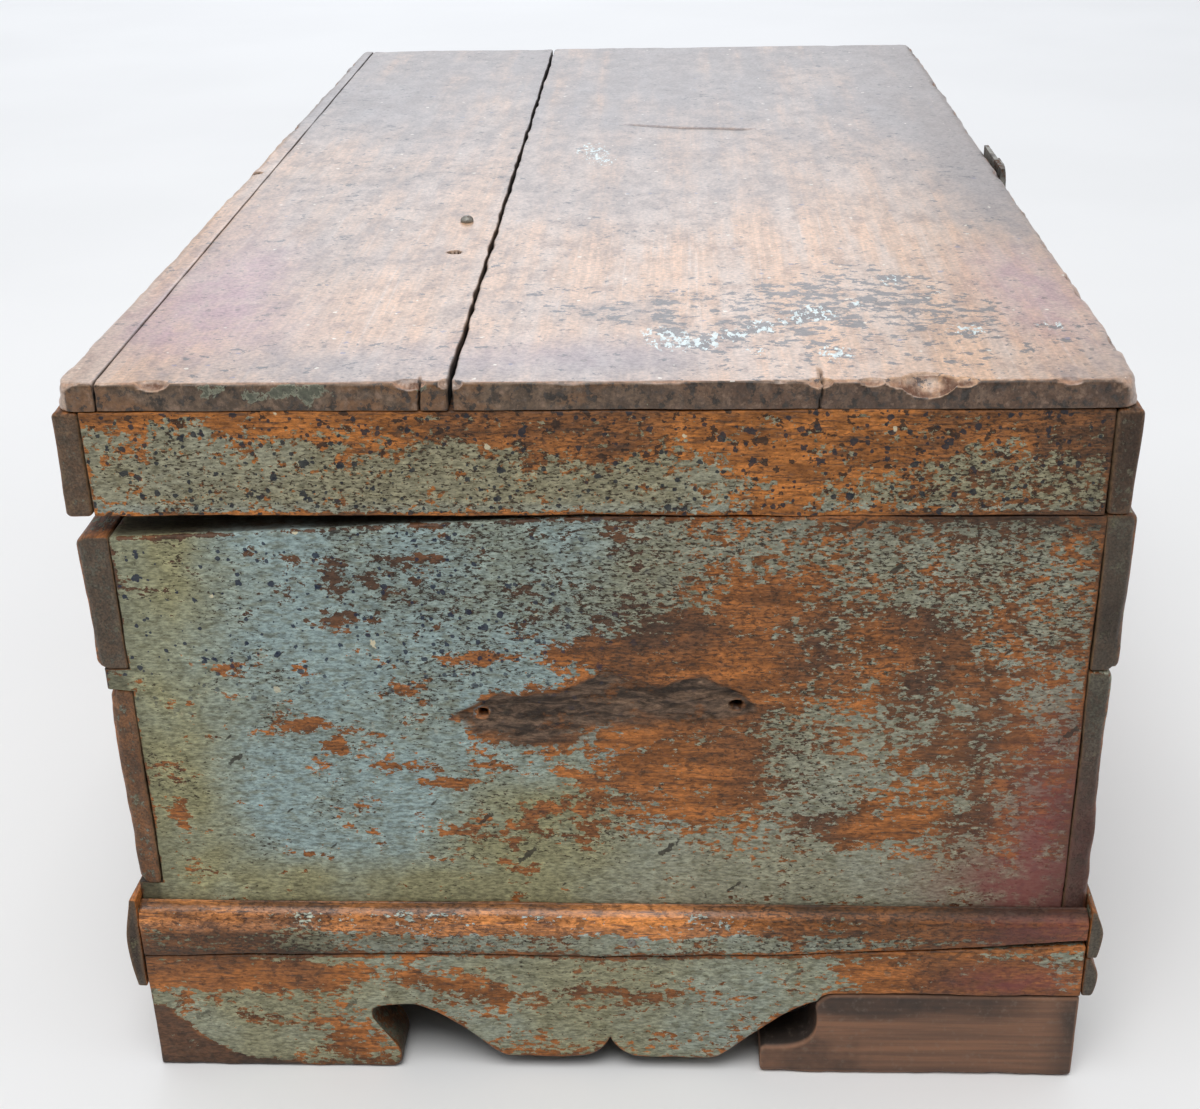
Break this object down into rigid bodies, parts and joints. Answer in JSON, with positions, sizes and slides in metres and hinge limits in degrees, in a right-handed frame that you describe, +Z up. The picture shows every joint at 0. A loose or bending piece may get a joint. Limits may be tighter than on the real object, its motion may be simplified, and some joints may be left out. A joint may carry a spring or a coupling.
{
  "type": "money chest",
  "caption": "Old wooden chest with a planked hinged lid, iron hasp and staple, and a scrolled plinth with bracket feet, for keeping money and valuables.",
  "frame": {"origin": "on the floor, under the middle of the chest", "axes": "+Z up, X along the chest with -X at the mended foot, -Y at the front with the hasp"},
  "size_m": [0.751, 0.4498, 0.3322],
  "materials": {
    "flaked_paint": "flaking grey-green paint over worn brown wood",
    "worn_lid_wood": "worn and dusty, stained",
    "lid_skirt_wood": "worn orange-brown wood with remains of grey-green paint",
    "bare_wood": "bare, dusty",
    "foot_block_wood": "dark red-brown, rubbed",
    "wrought_iron": "dark, lightly rusted"
  },
  "bodies": {
    "chest": {"left_end_panel": "flaked_paint", "right_end_panel": "flaked_paint", "front_lower_plank": "flaked_paint", "front_upper_plank": "flaked_paint", "back_lower_plank": "flaked_paint", "back_upper_plank": "flaked_paint", "left_end_apron": "flaked_paint", "right_end_apron": "flaked_paint", "front_apron": "flaked_paint", "left_end_moulding": "flaked_paint", "right_end_moulding": "flaked_paint", "front_upper_band": "flaked_paint", "front_lower_band": "flaked_paint", "back_band": "flaked_paint", "bottom_front_board": "bare_wood", "bottom_middle_board": "bare_wood", "bottom_back_board": "bare_wood", "left_bearer": "bare_wood", "middle_bearer": "bare_wood", "right_bearer": "bare_wood", "back_apron": "bare_wood", "repair_foot_block": "foot_block_wood", "left_hinge_body_leaf": "wrought_iron", "left_hinge_pin": "wrought_iron", "right_hinge_body_leaf": "wrought_iron", "right_hinge_pin": "wrought_iron", "hasp_staple": "wrought_iron"},
    "lid": {"lid_back_strip": "worn_lid_wood", "lid_back_plank": "worn_lid_wood", "lid_front_plank": "worn_lid_wood", "lid_front_skirt": "lid_skirt_wood", "lid_back_skirt": "lid_skirt_wood", "lid_left_skirt": "lid_skirt_wood", "lid_right_skirt": "lid_skirt_wood", "lid_left_batten": "bare_wood", "lid_right_batten": "bare_wood", "left_hinge_lid_leaf": "wrought_iron", "right_hinge_lid_leaf": "wrought_iron", "hasp_plate": "wrought_iron", "hasp_pin": "wrought_iron"},
    "hasp": {"hasp_strap": "wrought_iron"}
  },
  "joints": [
    {"name": "lid_hinge", "type": "hinge", "parent": "chest", "child": "lid", "pos_m": [0, 0.21805, 0.27115], "axis": [-1, 0, 0], "range_deg": [0, 105]},
    {"name": "hasp_hinge", "type": "hinge", "parent": "lid", "child": "hasp", "pos_m": [0, -0.2125, 0.2839], "axis": [1, 0, 0], "range_deg": [0, 180]}
  ]
}
